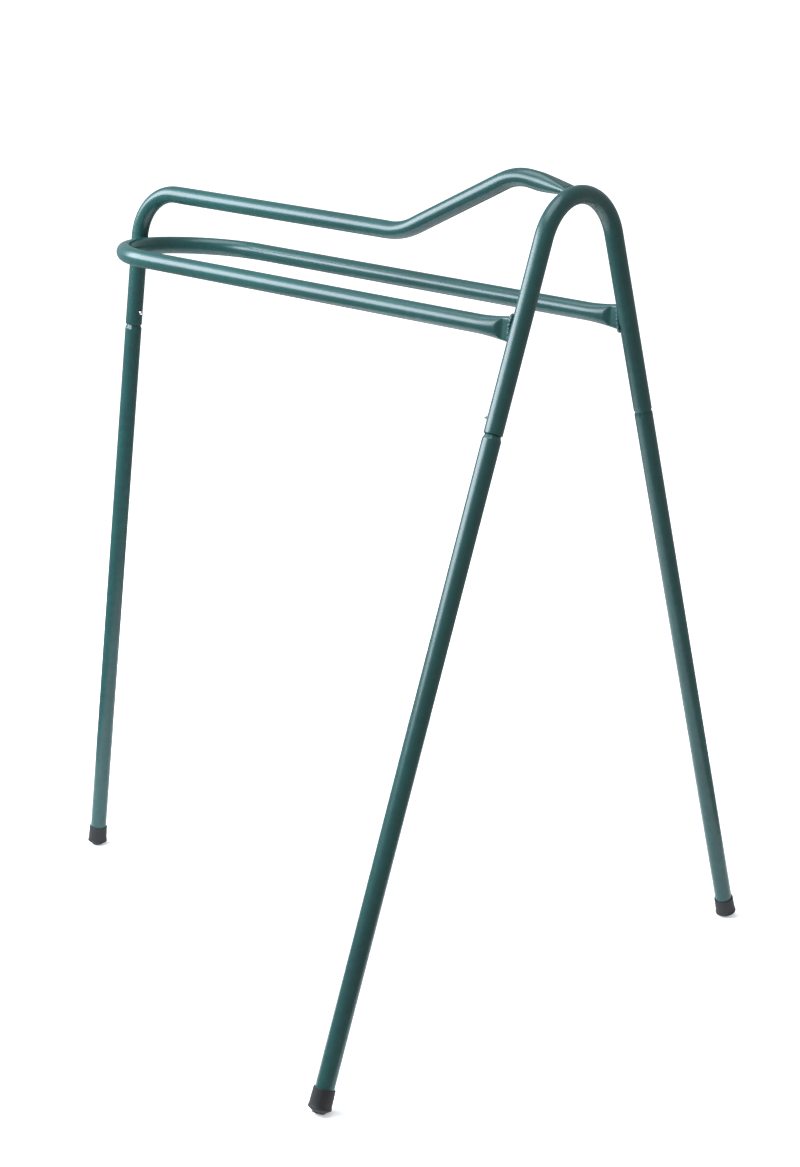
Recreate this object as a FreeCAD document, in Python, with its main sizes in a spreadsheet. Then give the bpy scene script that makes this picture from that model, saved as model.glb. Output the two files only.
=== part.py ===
import FreeCAD, Part
import math
import os
import Sketcher

# Three-legged take-down saddle rack in bent steel tube, in millimetres.
# +X points to the hoop end, +Y to the rack's left, +Z up, and the floor is z = 0.
# The origin is the centre of the footprint box.

V = FreeCAD.Vector
doc = FreeCAD.newDocument("saddle_rack")

# ---------------------------------------------------------------- driving sizes
dims = doc.addObject("Spreadsheet::Sheet", "dims")
SIZES = [
    ("tube_od", 19.0, "outside diameter of every tube"),
    ("tube_wall", 1.5, "wall of every tube"),
    ("splay_angle", 20.2, "front legs from the vertical, degrees"),
    ("rake_angle", 5.77, "rear leg from the vertical, degrees"),
    ("leg_visible", 656.9, "lower leg from the joint to the underside of its foot"),
    ("hoop_radius", 61.5, "centreline radius of the hoop's top"),
    ("hoop_side", 193.2, "straight side of the hoop, bend to joint"),
    ("ridge_length", 615.0, "hoop to the ridge's rear corner"),
    ("ridge_fall", 3.03, "fall of the ridge's rear run towards the front, degrees"),
    ("rear_bend_radius", 57.0, "ridge tube, rear bend"),
    ("dip_setback", 225.4, "hoop to the dip's corner"),
    ("dip_drop", 51.7, "dip's corner below the hoop's top centreline"),
    ("dip_bend_radius", 76.0, "ridge tube, dip"),
    ("rise_angle", 24.43, "rise from the dip to the crest, degrees"),
    ("crest_setback", 78.8, "hoop to the crest's corner"),
    ("crest_bend_radius", 57.0, "ridge tube, crest"),
    ("nose_flat", 14.0, "ridge end that is fully flat, from the hoop's axis"),
    ("rail_half_width", 89.2, "centre plane to each rail, also the loop's end radius"),
    ("rail_fall", 3.03, "fall of the rails towards the front, degrees"),
    ("loop_bite", 1.0, "depth of the seat where the loop meets the upright"),
    ("crush_length", 50.0, "tube end that is shaped, from the hoop's axis"),
    ("crush_flat", 18.0, "rail end that is fully flat, from the hoop's axis"),
    ("crush_height", 26.0, "long way across a flattened end"),
    ("crush_thickness", 6.5, "thickness of a flattened end"),
    ("bead", 2.2, "reach of the weld beads"),
    ("spigot_length", 45.0, "swaged top of each leg inside its upper tube"),
    ("spigot_clearance", 0.3, "radial clearance of the spigot"),
    ("swage_length", 5.5, "tapered shoulder of each leg"),
    ("button_height", 15.0, "button above the upper tube's end"),
    ("button_od", 5.0, "snap button"),
    ("button_clearance", 0.3, "radial clearance of the button in its holes"),
    ("button_proud", 3.5, "button above the upper tube's surface"),
    ("button_turn", 35.0, "front buttons, from straight back towards outside, degrees"),
    ("button_seat_gap", 0.05, "button's base above its strip"),
    ("strip_width", 7.0, "spring strip"),
    ("strip_gauge", 0.6, "spring strip"),
    ("strip_gap", 0.2, "strip's edge to the bore"),
    ("strip_top", 24.0, "strip's arms above the joint"),
    ("strip_knee", 6.0, "strip's knee below the joint"),
    ("strip_bend", 20.0, "centre of the strip's return bend below the joint"),
    ("strip_bend_radius", 3.0, "outside of the return bend"),
    ("foot_length", 24.0, "rubber ferrule"),
    ("foot_top_wall", 1.25, "rubber ferrule, top"),
    ("foot_waist_wall", 1.5, "rubber ferrule, just above its rim"),
    ("foot_rim_wall", 2.2, "rubber ferrule, rim"),
    ("foot_sole_od", 13.6, "rubber ferrule, sole"),
    ("foot_rim_low", 4.6, "lower edge of the rim above the sole"),
    ("foot_rim_high", 6.0, "upper edge of the rim above the sole"),
    ("foot_waist_height", 9.5, "end of the rim's flare above the sole"),
    ("foot_floor", 5.5, "rubber under the tube's end"),
    ("foot_round", 1.5, "edge of the sole"),
    ("foot_wear", 0.5, "depth of the flat that meets the floor"),
]
for row, (alias, value, note) in enumerate(SIZES, start=1):
    dims.set("A%d" % row, alias)
    dims.set("B%d" % row, str(value))
    dims.set("C%d" % row, note)
    dims.setAlias("B%d" % row, alias)

# ---------------------------------------------------------------- derived sizes
calc = doc.addObject("Spreadsheet::Sheet", "calc")
FORMULAS = [
    ("tube_r", "dims.tube_od / 2"),
    ("bore_r", "dims.tube_od / 2 - dims.tube_wall"),
    ("spigot_r", "bore_r - dims.spigot_clearance"),
    ("spigot_bore_r", "spigot_r - dims.tube_wall"),
    ("hole_r", "dims.button_od / 2 + dims.button_clearance"),
    ("splay", "dims.splay_angle * 1deg"),
    ("rake", "dims.rake_angle * 1deg"),
    ("fall", "dims.ridge_fall * 1deg"),
    ("tilt", "dims.rail_fall * 1deg"),
    ("rise", "dims.rise_angle * 1deg"),
    ("foot_flat_r", "dims.foot_sole_od / 2 - dims.foot_round"),
    ("foot_rim_r", "tube_r + dims.foot_rim_wall"),
    ("lift_front", "foot_flat_r * sin(splay) + dims.foot_round * (1 - cos(splay)) - dims.foot_wear"),
    ("lift_rear", "foot_flat_r * sin(rake) + dims.foot_round * (1 - cos(rake)) - dims.foot_wear"),
    ("joint_z", "dims.leg_visible * cos(splay) + lift_front"),
    ("joint_y", "dims.hoop_radius * cos(splay) + dims.hoop_side * sin(splay)"),
    ("apex_z", "joint_z + dims.hoop_side * cos(splay) + dims.hoop_radius * (1 - sin(splay))"),
    ("dip_z", "apex_z - dims.dip_drop"),
    ("corner_z", "dip_z + (dims.ridge_length - dims.dip_setback) * tan(fall)"),
    ("rear_joint_z", "dims.leg_visible * cos(rake) + lift_rear"),
    ("rear_joint_back", "dims.ridge_length + (corner_z - rear_joint_z) * tan(rake)"),
    ("rear_foot_back", "rear_joint_back + dims.leg_visible * sin(rake)"),
    ("rear_edge", "foot_rim_r * cos(rake) - dims.foot_rim_low * sin(rake)"),
    ("hoop_x", "(rear_foot_back + rear_edge - foot_rim_r) / 2"),
    ("rear_joint_x", "hoop_x - rear_joint_back"),
    ("dip_x", "hoop_x - dims.dip_setback"),
    ("crest_x", "hoop_x - dims.crest_setback"),
    ("crest_z", "dip_z + (dims.dip_setback - dims.crest_setback) * tan(rise)"),
    ("nose_angle", "atan((crest_z - apex_z) / dims.crest_setback)"),
    ("rail_z", "joint_z + (joint_y - dims.rail_half_width) / tan(splay)"),
    ("seat", "dims.tube_od - dims.loop_bite"),
    ("loop_reach", "(rear_joint_back * cos(rake) - (rail_z - rear_joint_z) * sin(rake) - seat)"
     " / cos(tilt - rake)"),
    ("nose_x", "hoop_x - dims.crush_length * cos(nose_angle)"),
    ("nose_z", "apex_z + dims.crush_length * sin(nose_angle)"),
    ("strip_face", "sqrt(spigot_bore_r ^ 2 - (dims.strip_width / 2) ^ 2) - dims.strip_gap"),
    ("strip_inner", "strip_face - dims.strip_gauge"),
    ("leg_bottom", "dims.leg_visible - dims.foot_floor"),
]
for row, (alias, formula) in enumerate(FORMULAS, start=1):
    calc.set("A%d" % row, alias)
    calc.set("B%d" % row, "=" + formula)
    calc.setAlias("B%d" % row, alias)
    doc.recompute()


def val(expression):
    """The number that an expression on the two sheets gives."""
    result = dims.evalExpression(expression)
    return float(getattr(result, "Value", result))


def plane(body, role):
    """One of a body's own origin planes, found by its role."""
    for feature in body.Origin.OriginFeatures:
        if feature.Role == role:
            return feature
    raise RuntimeError("no plane " + role)


def sketch(body, role, name, offset=None):
    """A sketch laid on one of the body's origin planes, moved by an expression."""
    sk = body.newObject("Sketcher::SketchObject", name)
    sk.AttachmentSupport = [(plane(body, role), "")]
    sk.MapMode = "FlatFace"
    if offset:
        sk.setExpression("AttachmentOffset", offset)
    return sk


def size(sk, kind, expression, *where):
    """A sketch dimension whose value is bound to the sheets."""
    index = sk.addConstraint(Sketcher.Constraint(kind, *where, val(expression)))
    sk.setExpression("Constraints[%d]" % index, expression)


def pin(sk, geo, pos, x_expr, y_expr):
    """Fixes one sketch point at coordinates given as expressions."""
    for kind, axis, expression in (("DistanceX", -2, x_expr), ("DistanceY", -1, y_expr)):
        if expression == "0":
            sk.addConstraint(Sketcher.Constraint("PointOnObject", geo, pos, axis))
        elif val(expression) >= 0:
            size(sk, kind, expression, -1, 1, geo, pos)
        else:
            size(sk, kind, "-(" + expression + ")", geo, pos, -1, 1)


def outline(sk, corners):
    """A closed outline through corners. Each is (x, y) in expressions, and a corner with a
    third entry is reached by an arc about that centre, turning as the fourth says."""
    points = [V(val(c[0]), val(c[1]), 0) for c in corners]
    count = len(corners)
    for i, corner in enumerate(corners):
        start, end = points[i - 1], points[i]
        if len(corner) > 2:
            centre = V(val(corner[2][0]), val(corner[2][1]), 0)
            a0 = math.atan2(start.y - centre.y, start.x - centre.x)
            a1 = math.atan2(end.y - centre.y, end.x - centre.x)
            circle = Part.Circle(centre, V(0, 0, 1), (start - centre).Length)
            if corner[3] > 0:
                sk.addGeometry(Part.ArcOfCircle(circle, a0, a1))
            else:
                sk.addGeometry(Part.ArcOfCircle(circle, a1, a0))
        else:
            sk.addGeometry(Part.LineSegment(start, end))

    def ends(i):
        if len(corners[i]) > 2 and corners[i][3] < 0:
            return 2, 1
        return 1, 2

    for i in range(count):
        after = (i + 1) % count
        sk.addConstraint(Sketcher.Constraint("Coincident", i, ends(i)[1], after, ends(after)[0]))
    for i, corner in enumerate(corners):
        pin(sk, i, ends(i)[1], corner[0], corner[1])
        if len(corner) > 2 and abs(points[i].y - points[i - 1].y) < 1e-6:
            size(sk, "DistanceY", "-(" + corner[2][1] + ")", i, 3, -1, 1)
        elif len(corner) > 2 and corner[2][0] == "0":
            sk.addConstraint(Sketcher.Constraint("PointOnObject", i, 3, -2))
        elif len(corner) > 2:
            size(sk, "DistanceX", corner[2][0], -1, 1, i, 3)


def put(x, y, z, axis, angle):
    """A placement expression: a position and a turn about one axis."""
    return ("create(<<placement>>; create(<<vector>>; %s; %s; %s); "
            "create(<<rotation>>; create(<<vector>>; %s); %s))" % (x, y, z, axis, angle))


# A leg's own frame: origin on its axis at the joint, +Z up the leg, +X to its button.
AXIS = {
    "front_right": put("calc.hoop_x", "-calc.joint_y", "calc.joint_z", "1; 0; 0", "-calc.splay"),
    "front_left": put("calc.hoop_x", "calc.joint_y", "calc.joint_z", "1; 0; 0", "calc.splay"),
    "rear": put("calc.rear_joint_x", "0", "calc.rear_joint_z", "0; 1; 0", "calc.rake"),
}
TURN = {
    "front_right": put("0", "0", "0", "0; 0; 1", "180 + dims.button_turn"),
    "front_left": put("0", "0", "0", "0; 0; 1", "180 - dims.button_turn"),
    "rear": put("0", "0", "0", "0; 0; 1", "0"),
}
LEGS = ["front_right", "front_left", "rear"]
RADIAL = put("0", "0", "dims.button_height", "0; 1; 0", "90")


def ring(body, offset):
    """The tube's section, square to the path's first point."""
    sk = sketch(body, "XY_Plane", "section", offset)
    sk.addGeometry([Part.Circle(V(0, 0, 0), V(0, 0, 1), val("calc.tube_r")),
                    Part.Circle(V(0, 0, 0), V(0, 0, 1), val("calc.bore_r"))])
    sk.addConstraint(Sketcher.Constraint("Coincident", 0, 3, -1, 1))
    sk.addConstraint(Sketcher.Constraint("Coincident", 1, 3, -1, 1))
    size(sk, "Radius", "calc.tube_r", 0)
    size(sk, "Radius", "calc.bore_r", 1)
    return sk


def pipe(body, section, path, edges):
    """The tube itself: its section carried along its path."""
    doc.recompute()
    feature = body.newObject("PartDesign::AdditivePipe", "tube")
    feature.Profile = section
    feature.Spine = (path, ["Edge%d" % (i + 1) for i in range(edges)])
    doc.recompute()


def rod(name, path, edges, radius, offset):
    """A filled envelope along a tube's path, used to cope and to form beads."""
    circle = doc.addObject("Part::Circle", name + "_circle")
    circle.setExpression("Radius", radius)
    circle.setExpression("Placement", offset)
    sweep = doc.addObject("Part::Sweep", name)
    sweep.Sections = [circle]
    sweep.Spine = (path, ["Edge%d" % (i + 1) for i in range(edges)])
    sweep.Solid = True
    return sweep


def cylinder(name, radius, height, place):
    """A plain cylinder with its sizes and its place bound to the sheets."""
    obj = doc.addObject("Part::Cylinder", name)
    obj.setExpression("Radius", radius)
    obj.setExpression("Height", height)
    obj.setExpression("Placement", place)
    return obj


def cut(name, base, tool):
    """One solid less another."""
    obj = doc.addObject("Part::Cut", name)
    obj.Base = base
    obj.Tool = tool
    return obj


def common(name, base, tool):
    """What two solids share."""
    obj = doc.addObject("Part::Common", name)
    obj.Base = base
    obj.Tool = tool
    return obj


def fuse(name, shapes):
    """Several solids made one."""
    obj = doc.addObject("Part::MultiFuse", name)
    obj.Shapes = shapes
    return obj


def button_hole(name, leg):
    """The hole that a button passes through, on its own side of the leg only."""
    place = AXIS[leg] + " * " + TURN[leg] + " * " + put("dims.tube_wall", "0",
                                                       "dims.button_height", "0; 1; 0", "90")
    return cylinder(name, "calc.hole_r", "dims.tube_od", place)


nodes = {}

# ---------------------------------------------------------------- hoop
hoop = doc.addObject("PartDesign::Body", "hoop_body")
hoop_path = sketch(hoop, "YZ_Plane", "hoop_path", put("0", "0", "calc.hoop_x", "0; 0; 1", "0"))
splay = math.radians(val("dims.splay_angle"))
radius = val("dims.hoop_radius")
centre = V(0, val("calc.apex_z") - radius, 0)
left_end = V(val("calc.joint_y"), val("calc.joint_z"), 0)
right_end = V(-left_end.x, left_end.y, 0)
left_tan = V(radius * math.cos(splay), centre.y + radius * math.sin(splay), 0)
right_tan = V(-left_tan.x, left_tan.y, 0)
hoop_path.addGeometry([
    Part.LineSegment(right_end, right_tan),
    Part.ArcOfCircle(Part.Circle(centre, V(0, 0, 1), radius), splay, math.pi - splay),
    Part.LineSegment(left_tan, left_end),
])
hoop_path.addConstraint(Sketcher.Constraint("Tangent", 0, 2, 1, 2))
hoop_path.addConstraint(Sketcher.Constraint("Tangent", 1, 1, 2, 1))
hoop_path.addConstraint(Sketcher.Constraint("PointOnObject", 1, 3, -2))
size(hoop_path, "Radius", "dims.hoop_radius", 1)
size(hoop_path, "Distance", "dims.hoop_side", 0)
size(hoop_path, "Distance", "dims.hoop_side", 2)
size(hoop_path, "DistanceX", "calc.joint_y", 0, 1, -1, 1)
size(hoop_path, "DistanceY", "calc.joint_z", -1, 1, 0, 1)
size(hoop_path, "DistanceY", "calc.joint_z", -1, 1, 2, 2)
pipe(hoop, ring(hoop, AXIS["front_right"]), hoop_path, 3)
hoop_rod = rod("hoop_rod", hoop_path, 3, "calc.tube_r", AXIS["front_right"])
hoop_wide = rod("hoop_wide", hoop_path, 3, "calc.tube_r + dims.bead", AXIS["front_right"])
nodes["hoop_tube"] = cut("hoop_holes_both",
                         cut("hoop_hole_one", hoop, button_hole("hole_fr", "front_right")),
                         button_hole("hole_fl", "front_left"))

# ---------------------------------------------------------------- flattened ends
# A flattened end goes from the round tube to a long, thin oval that butts on the hoop. The oval
# lies along the hoop's tube. Stations: distance from the hoop's axis, long way, thickness.
def stations(flat):
    """The ovals of an end that is fully flat at a given distance from the hoop's axis."""
    return [
        ("dims.crush_length", "dims.tube_od", "dims.tube_od"),
        ("(0.55 * dims.crush_length + 0.45 * %s)" % flat,
         "(0.55 * dims.tube_od + 0.45 * dims.crush_height)",
         "(0.6 * dims.tube_od + 0.4 * dims.crush_thickness)"),
        (flat, "dims.crush_height", "dims.crush_thickness"),
        ("1", "dims.crush_height", "dims.crush_thickness"),
    ]


def short(flat):
    """The fully flat part alone, a little longer."""
    return [("(%s + 2)" % flat, "dims.crush_height", "dims.crush_thickness"),
            ("1", "dims.crush_height", "dims.crush_thickness")]


def oval(name, frame, y, turn, grow, rows):
    """A solid through ovals along a tube's end, grown or shrunk all round."""
    ovals = []
    for i, (back, tall, thick) in enumerate(rows):
        ellipse = doc.addObject("Part::Ellipse", "%s_%d" % (name, i))
        ellipse.setExpression("MajorRadius", "%s / 2 + %s" % (tall, grow))
        ellipse.setExpression("MinorRadius", "%s / 2 + %s" % (thick, grow))
        ellipse.setExpression("Placement", frame + " * " + put("-" + back, y, "0", "0; 1; 0", "-90")
                              + " * " + put("0", "0", "0", "0; 0; 1", turn))
        ovals.append(ellipse)
    loft = doc.addObject("Part::Loft", name)
    loft.Sections = ovals
    loft.Solid = True
    loft.Ruled = False
    return loft


END_OUT = {}


def flat_end(tag, frame, y, turn, flat):
    """A hollow flattened end."""
    END_OUT[tag] = oval("end_out_" + tag, frame, y, turn, "0", stations(flat))
    inner = oval("end_in_" + tag, frame, y, turn, "(-dims.tube_wall)", stations(flat))
    return cut("end_" + tag, END_OUT[tag], inner)


def bead(tag, frame, y, turn, flat):
    """The weld round a flattened end, where it meets the hoop."""
    grown = oval("bead_oval_" + tag, frame, y, turn, "dims.bead", short(flat))
    blob = common("bead_" + tag, grown, hoop_wide)
    keep = cut("bead_a_" + tag, blob, hoop_rod)
    return cut("bead_b_" + tag, keep, END_OUT[tag])


# ---------------------------------------------------------------- ridge
ridge = doc.addObject("PartDesign::Body", "ridge_body")
ridge_path = sketch(ridge, "XZ_Plane", "ridge_path")
start = V(val("calc.rear_joint_x"), val("calc.rear_joint_z"), 0)
corners = [
    V(val("calc.hoop_x - dims.ridge_length"), val("calc.corner_z"), 0),
    V(val("calc.dip_x"), val("calc.dip_z"), 0),
    V(val("calc.crest_x"), val("calc.crest_z"), 0),
]
finish = V(val("calc.nose_x"), val("calc.nose_z"), 0)
bends = ["dims.rear_bend_radius", "dims.dip_bend_radius", "dims.crest_bend_radius"]
stops = [start] + corners + [finish]
ways = [(stops[i + 1] - stops[i]).normalize() for i in range(4)]
run_start = [start]
run_end = []
arcs = []
for i, corner in enumerate(corners):
    bend = val(bends[i])
    turn = ways[i].getAngle(ways[i + 1])
    back = bend * math.tan(turn / 2)
    p0 = corner - ways[i] * back
    p1 = corner + ways[i + 1] * back
    side = 1 if ways[i].cross(ways[i + 1]).z > 0 else -1
    normal = V(-ways[i].y, ways[i].x, 0) * side
    middle = p0 + normal * bend
    a0 = math.atan2(p0.y - middle.y, p0.x - middle.x)
    a1 = math.atan2(p1.y - middle.y, p1.x - middle.x)
    run_end.append(p0)
    run_start.append(p1)
    arcs.append((middle, bend, a0, a1, side))
run_end.append(finish)
order = []
for i in range(4):
    order.append(ridge_path.addGeometry(Part.LineSegment(run_start[i], run_end[i])))
    if i < 3:
        middle, bend, a0, a1, side = arcs[i]
        circle = Part.Circle(middle, V(0, 0, 1), bend)
        first, last = (a0, a1) if side > 0 else (a1, a0)
        order.append(ridge_path.addGeometry(Part.ArcOfCircle(circle, first, last)))
for i in range(3):
    line, arc, following = order[2 * i], order[2 * i + 1], order[2 * i + 2]
    enter, leave = (1, 2) if arcs[i][4] > 0 else (2, 1)
    ridge_path.addConstraint(Sketcher.Constraint("Tangent", line, 2, arc, enter))
    ridge_path.addConstraint(Sketcher.Constraint("Tangent", arc, leave, following, 1))
    size(ridge_path, "Radius", bends[i], arc)
pin(ridge_path, order[0], 1, "calc.rear_joint_x", "calc.rear_joint_z")
pin(ridge_path, order[6], 2, "calc.nose_x", "calc.nose_z")
marks = [("calc.hoop_x - dims.ridge_length", "calc.corner_z"), ("calc.dip_x", "calc.dip_z"),
         ("calc.crest_x", "calc.crest_z")]
for i, mark in enumerate(marks):
    point = ridge_path.addGeometry(Part.Point(corners[i]), True)
    ridge_path.addConstraint(Sketcher.Constraint("PointOnObject", point, 1, order[2 * i]))
    ridge_path.addConstraint(Sketcher.Constraint("PointOnObject", point, 1, order[2 * i + 2]))
    pin(ridge_path, point, 1, mark[0], mark[1])
pipe(ridge, ring(ridge, AXIS["rear"]), ridge_path, 7)
NOSE = put("calc.hoop_x", "0", "calc.apex_z", "0; 1; 0", "calc.nose_angle")
nose_end = flat_end("nose", NOSE, "0", "90", "dims.nose_flat")
nodes["ridge_tube"] = cut("ridge_hole",
                          cut("ridge_coped", fuse("ridge_whole", [ridge, nose_end]), hoop_rod),
                          button_hole("hole_rear", "rear"))

# ---------------------------------------------------------------- rail loop
# The loop lies in a plane that falls towards the front. Its own frame starts on the hoop.
LOOP = put("calc.hoop_x", "0", "calc.rail_z", "0; 1; 0", "calc.tilt")
loop = doc.addObject("PartDesign::Body", "loop_body")
loop_path = sketch(loop, "XY_Plane", "loop_path", LOOP)
half = val("dims.rail_half_width")
near = -val("dims.crush_length")
far = -(val("calc.loop_reach") - half)
loop_path.addGeometry([
    Part.LineSegment(V(near, -half, 0), V(far, -half, 0)),
    Part.ArcOfCircle(Part.Circle(V(far, 0, 0), V(0, 0, 1), half), math.pi / 2, 3 * math.pi / 2),
    Part.LineSegment(V(far, half, 0), V(near, half, 0)),
])
loop_path.addConstraint(Sketcher.Constraint("Tangent", 0, 2, 1, 2))
loop_path.addConstraint(Sketcher.Constraint("Tangent", 1, 1, 2, 1))
loop_path.addConstraint(Sketcher.Constraint("PointOnObject", 1, 3, -1))
loop_path.addConstraint(Sketcher.Constraint("Horizontal", 0))
size(loop_path, "Radius", "dims.rail_half_width", 1)
size(loop_path, "DistanceX", "calc.loop_reach - dims.rail_half_width", 1, 3, -1, 1)
size(loop_path, "DistanceX", "dims.crush_length", 0, 1, -1, 1)
size(loop_path, "DistanceX", "dims.crush_length", 2, 2, -1, 1)
LOOP_START = LOOP + " * " + put("-dims.crush_length", "-dims.rail_half_width", "0",
                                "0; 1; 0", "-90")
pipe(loop, ring(loop, LOOP_START), loop_path, 3)
loop_rod = rod("loop_rod", loop_path, 3, "calc.tube_r", LOOP_START)
loop_wide = rod("loop_wide", loop_path, 3, "calc.tube_r + dims.bead", LOOP_START)

ends = [flat_end(tag, LOOP, side + "dims.rail_half_width", "0", "dims.crush_flat")
        for tag, side in (("right", "-"), ("left", ""))]
upright = cylinder("upright", "calc.tube_r", "200", AXIS["rear"])
upright_wide = cylinder("upright_wide", "calc.tube_r + dims.bead", "200", AXIS["rear"])
nodes["rail_loop"] = cut("loop_seated",
                         cut("loop_coped", fuse("loop_whole", [loop] + ends), hoop_rod), upright)

# ---------------------------------------------------------------- weld beads
nodes["weld_ridge_front"] = bead("nose", NOSE, "0", "90", "dims.nose_flat")
for tag, side in (("right", "-"), ("left", "")):
    nodes["weld_rail_" + tag] = bead(tag, LOOP, side + "dims.rail_half_width", "0",
                                     "dims.crush_flat")
blob = common("bead_loop", loop_wide, upright_wide)
nodes["weld_loop_rear"] = cut("bead_loop_b", cut("bead_loop_a", blob, upright), loop_rod)

# ---------------------------------------------------------------- legs
floor = doc.addObject("Part::Box", "floor")
floor.setExpression("Length", "4 * calc.hoop_x")
floor.setExpression("Width", "4 * calc.hoop_x")
floor.Height = 40
floor.setExpression("Placement", put("-2 * calc.hoop_x", "-2 * calc.hoop_x", "-40", "0; 0; 1", "0"))


def revolve(body, sk):
    """A full turn about the sketch's vertical axis."""
    doc.recompute()
    feature = body.newObject("PartDesign::Revolution", "turned")
    feature.Profile = sk
    feature.ReferenceAxis = (sk, ["V_Axis"])
    feature.Angle = 360
    doc.recompute()


for leg in LEGS:
    tube = doc.addObject("PartDesign::Body", "leg_body_" + leg)
    sk = sketch(tube, "XZ_Plane", "leg_profile")
    outline(sk, [
        ("calc.tube_r", "-calc.leg_bottom"),
        ("calc.tube_r", "-dims.swage_length"),
        ("calc.spigot_r", "0"),
        ("calc.spigot_r", "dims.spigot_length"),
        ("calc.spigot_bore_r", "dims.spigot_length"),
        ("calc.spigot_bore_r", "0"),
        ("calc.bore_r", "-dims.swage_length"),
        ("calc.bore_r", "-calc.leg_bottom"),
    ])
    revolve(tube, sk)
    tube.setExpression("Placement", AXIS[leg])
    nodes["leg_" + leg] = cut("leg_holed_" + leg, tube, button_hole("leg_hole_" + leg, leg))

    strip = doc.addObject("PartDesign::Body", "clip_body_" + leg)
    sk = sketch(strip, "XZ_Plane", "clip_profile")
    outline(sk, [
        ("calc.strip_face", "dims.strip_top"),
        ("calc.strip_inner", "dims.strip_top"),
        ("calc.strip_inner", "-dims.strip_knee"),
        ("dims.strip_bend_radius - dims.strip_gauge", "-dims.strip_bend"),
        ("-(dims.strip_bend_radius - dims.strip_gauge)", "-dims.strip_bend",
         ("0", "-dims.strip_bend"), -1),
        ("-calc.strip_inner", "-dims.strip_knee"),
        ("-calc.strip_inner", "dims.strip_top"),
        ("-calc.strip_face", "dims.strip_top"),
        ("-calc.strip_face", "-dims.strip_knee"),
        ("-dims.strip_bend_radius", "-dims.strip_bend"),
        ("dims.strip_bend_radius", "-dims.strip_bend", ("0", "-dims.strip_bend"), 1),
        ("calc.strip_face", "-dims.strip_knee"),
    ])
    doc.recompute()
    pad = strip.newObject("PartDesign::Pad", "width")
    pad.Profile = sk
    pad.setExpression("Length", "dims.strip_width")
    pad.Midplane = True
    strip.setExpression("Placement", AXIS[leg] + " * " + TURN[leg])
    nodes["clip_" + leg] = strip

    knob = doc.addObject("PartDesign::Body", "button_body_" + leg)
    sk = sketch(knob, "XZ_Plane", "button_profile")
    low = "calc.strip_face + dims.button_seat_gap"
    ball = "calc.tube_r + dims.button_proud - dims.button_od / 2"
    outline(sk, [
        ("0", low),
        ("dims.button_od / 2", low),
        ("dims.button_od / 2", ball),
        ("0", "calc.tube_r + dims.button_proud", ("0", ball), 1),
    ])
    revolve(knob, sk)
    knob.setExpression("Placement", AXIS[leg] + " * " + TURN[leg] + " * " + RADIAL)
    nodes["button_" + leg] = knob

    ferrule = doc.addObject("PartDesign::Body", "foot_body_" + leg)
    sk = sketch(ferrule, "XZ_Plane", "foot_profile")
    outline(sk, [
        ("0", "-dims.leg_visible"),
        ("calc.foot_flat_r", "-dims.leg_visible"),
        ("dims.foot_sole_od / 2", "-dims.leg_visible + dims.foot_round",
         ("calc.foot_flat_r", "-dims.leg_visible + dims.foot_round"), 1),
        ("calc.foot_rim_r", "-dims.leg_visible + dims.foot_rim_low"),
        ("calc.foot_rim_r", "-dims.leg_visible + dims.foot_rim_high"),
        ("calc.tube_r + dims.foot_waist_wall", "-dims.leg_visible + dims.foot_waist_height"),
        ("calc.tube_r + dims.foot_top_wall", "-dims.leg_visible + dims.foot_length"),
        ("calc.tube_r", "-dims.leg_visible + dims.foot_length"),
        ("calc.tube_r", "-calc.leg_bottom"),
        ("0", "-calc.leg_bottom"),
    ])
    revolve(ferrule, sk)
    ferrule.setExpression("Placement", AXIS[leg])
    nodes["foot_" + leg] = cut("foot_flat_" + leg, ferrule, floor)

doc.recompute()

# ---------------------------------------------------------------- check and write
for name, obj in nodes.items():
    obj.Label = name
for obj in doc.Objects:
    if "Invalid" in obj.State or "Error" in obj.State:
        raise RuntimeError("%s (%s) failed: %s" % (obj.Name, obj.Label, obj.State))
    if obj.TypeId == "Sketcher::SketchObject" and obj.solve() != 0:
        raise RuntimeError("sketch %s does not solve" % obj.Label)
box = FreeCAD.BoundBox()
for name, obj in nodes.items():
    shape = obj.Shape
    if shape.isNull() or not shape.isValid() or len(shape.Solids) != 1:
        raise RuntimeError("%s: valid %s, %d solids" % (name, shape.isValid(), len(shape.Solids)))
    box.add(shape.optimalBoundingBox(False))
    print("%-20s volume %10.1f" % (name, shape.Volume))
print("box", box)

os.makedirs("parts", exist_ok=True)
for name, obj in nodes.items():
    obj.Shape.exportStep("parts/%s.step" % name)
print("wrote %d parts" % len(nodes))
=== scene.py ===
import math
from types import SimpleNamespace

import bmesh
import bpy
import numpy as np
from mathutils import Matrix


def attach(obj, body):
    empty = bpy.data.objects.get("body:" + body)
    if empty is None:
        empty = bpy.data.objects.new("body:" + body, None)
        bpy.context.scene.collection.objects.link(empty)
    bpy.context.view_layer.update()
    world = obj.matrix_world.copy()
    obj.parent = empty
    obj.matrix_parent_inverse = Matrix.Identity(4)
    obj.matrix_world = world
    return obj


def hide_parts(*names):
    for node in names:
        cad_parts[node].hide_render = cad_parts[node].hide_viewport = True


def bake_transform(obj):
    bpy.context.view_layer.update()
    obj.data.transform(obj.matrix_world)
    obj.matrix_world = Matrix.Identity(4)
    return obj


bl_info = {
    "name": "Saddle rack",
    "version": (1, 0, 0),
    "blender": (4, 5, 0),
    "location": "3D View > Sidebar > Saddle rack",
    "description": "A three-legged take-down saddle rack in coated steel tube",
    "category": "Add Mesh",
}

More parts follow.
